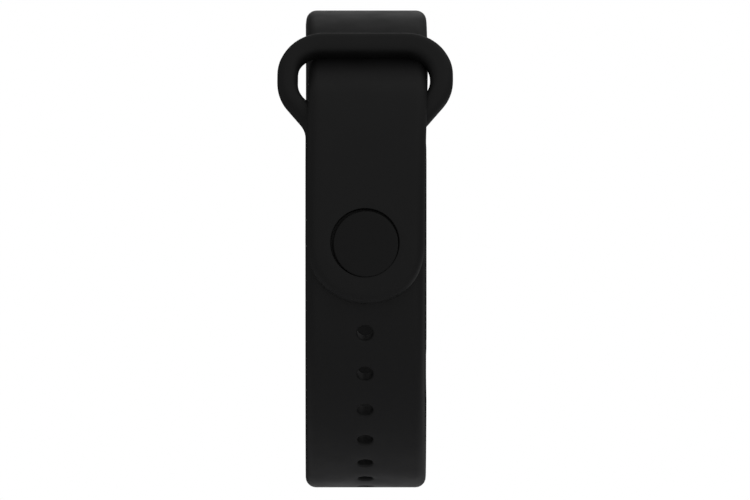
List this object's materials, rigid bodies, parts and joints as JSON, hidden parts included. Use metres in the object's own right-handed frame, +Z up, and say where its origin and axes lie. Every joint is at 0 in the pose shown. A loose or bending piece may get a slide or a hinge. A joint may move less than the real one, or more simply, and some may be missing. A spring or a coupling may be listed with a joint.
{
  "type": "fitness tracker band",
  "caption": "Wrist band with a slim tracker pod in a soft strap that passes through a keeper loop and locks with a stud in a row of holes.",
  "frame": {"origin": "middle of the wrist opening, half way across the strap", "axes": "+X across the strap, +Y out through the display, -Y out through the clasp, +Z up towards the keeper loop's side of the band"},
  "size_m": [0.0242, 0.0672, 0.0694],
  "materials": {
    "strap": "matte moulded elastomer with a fine bloom",
    "clasp_cap": "fine matte",
    "stud": "dark coated steel",
    "pod_shell": "fine spark texture",
    "cover_glass": "polished, printed black behind",
    "gasket": "matte",
    "film": "clear film",
    "display": "glossy dark panel",
    "flex": "amber polyimide",
    "circuit_board": "green solder mask",
    "chips": "moulded epoxy",
    "shield": "tinned steel",
    "battery": "satin laminate pouch",
    "motor_steel": "drawn steel",
    "rotor": "sintered tungsten alloy",
    "leds": "clear epoxy, green",
    "sensor_window": "polished dark clear plastic",
    "contacts": "gold plated"
  },
  "bodies": {
    "band": {"strap_cradle": "strap", "upper_strap": "strap", "lower_strap": "strap", "keeper_loop": "strap"},
    "tail": {"strap_tail": "strap", "clasp_cap": "clasp_cap", "clasp_stud": "stud"},
    "pod": {"pod_rear_shell": "pod_shell", "pod_front_frame": "pod_shell", "cover_glass": "cover_glass", "glass_gasket": "gasket", "touch_film": "film", "display_panel": "display", "display_flex": "flex", "main_board": "circuit_board", "board_chips": "chips", "shield_can": "shield", "antenna": "flex", "battery": "battery", "battery_protection_board": "circuit_board", "motor_can": "motor_steel", "motor_base": "motor_steel", "motor_shaft": "motor_steel", "sensor_board": "circuit_board", "sensor_leds": "leds", "photodiode": "chips", "sensor_baffle": "gasket", "sensor_window": "sensor_window", "charging_contacts": "contacts", "contact_springs": "contacts"},
    "rotor": {"motor_rotor": "rotor"}
  },
  "joints": [
    {"name": "tail_bend", "type": "hinge", "parent": "band", "child": "tail", "pos_m": [0, -0.0334, 0.01356], "axis": [-1, 0, 0], "range_deg": [0, 60], "stiffness_Nm_per_rad": 0.005},
    {"name": "pod_release", "type": "slide", "parent": "band", "child": "pod", "axis": [0, 1, 0], "range_m": [0, 0.012]},
    {"name": "motor_spin", "type": "hinge", "parent": "pod", "child": "rotor", "pos_m": [0, 0.0205, 0.0133], "axis": [0, 1, 0], "continuous": true}
  ]
}
